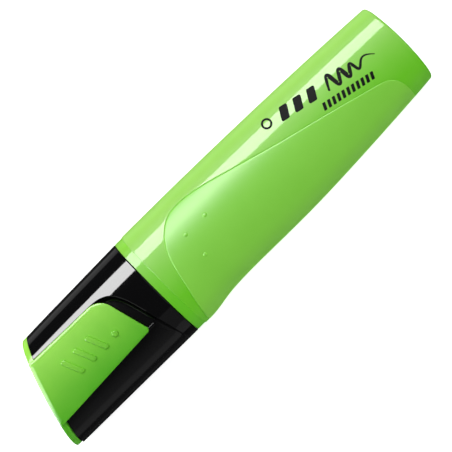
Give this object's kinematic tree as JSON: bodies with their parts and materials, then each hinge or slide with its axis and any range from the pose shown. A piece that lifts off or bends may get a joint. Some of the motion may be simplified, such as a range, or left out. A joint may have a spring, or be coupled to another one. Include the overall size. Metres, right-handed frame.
{
  "type": "capped highlighter pen",
  "caption": "Flat oval highlighter with a hollow tapered barrel, soft side grip, chisel felt nib and a pull-off cap with a flexing pocket clip.",
  "frame": {"origin": "centre of the footprint, on the surface that the pen lies on with its clip upwards; also the middle of the flat land on the back", "axes": "+X along the pen towards the cap and nib, +Y towards the grip side, +Z out of the face that carries the clip"},
  "size_m": [0.1223, 0.0286, 0.0168],
  "materials": {
    "barrel_green": "glossy moulded polypropylene, fluorescent green",
    "grip_green": "satin soft-touch overmould, same green",
    "section_green": "glossy moulded polypropylene",
    "nib_felt": "bonded fibre soaked with fluorescent ink",
    "reservoir_fibre": "fibre bundle soaked with ink",
    "clear_film": "thin clear film",
    "cap_black": "glossy moulded black polypropylene, satin in the recess",
    "liner_white": "natural white polyethylene",
    "clip_green": "glossy to satin moulded polypropylene"
  },
  "bodies": {
    "barrel": {"barrel": "barrel_green", "grip": "grip_green", "front_section": "section_green", "nib": "nib_felt", "ink_reservoir": "reservoir_fibre", "reservoir_wrap": "clear_film"},
    "cap": {"cap_shell": "cap_black", "inner_cap": "liner_white", "cap_end": "clip_green"},
    "clip": {"clip_tongue": "clip_green"}
  },
  "joints": [
    {"name": "cap_pull", "type": "slide", "parent": "barrel", "child": "cap", "axis": [1, 0, 0], "range_m": [0, 0.04]},
    {"name": "clip_flex", "type": "hinge", "parent": "cap", "child": "clip", "pos_m": [0.05521, 0.00093, 0.01555], "axis": [0.2897, 0.9571, 0], "range_deg": [0, 6], "stiffness_Nm_per_rad": 1}
  ]
}
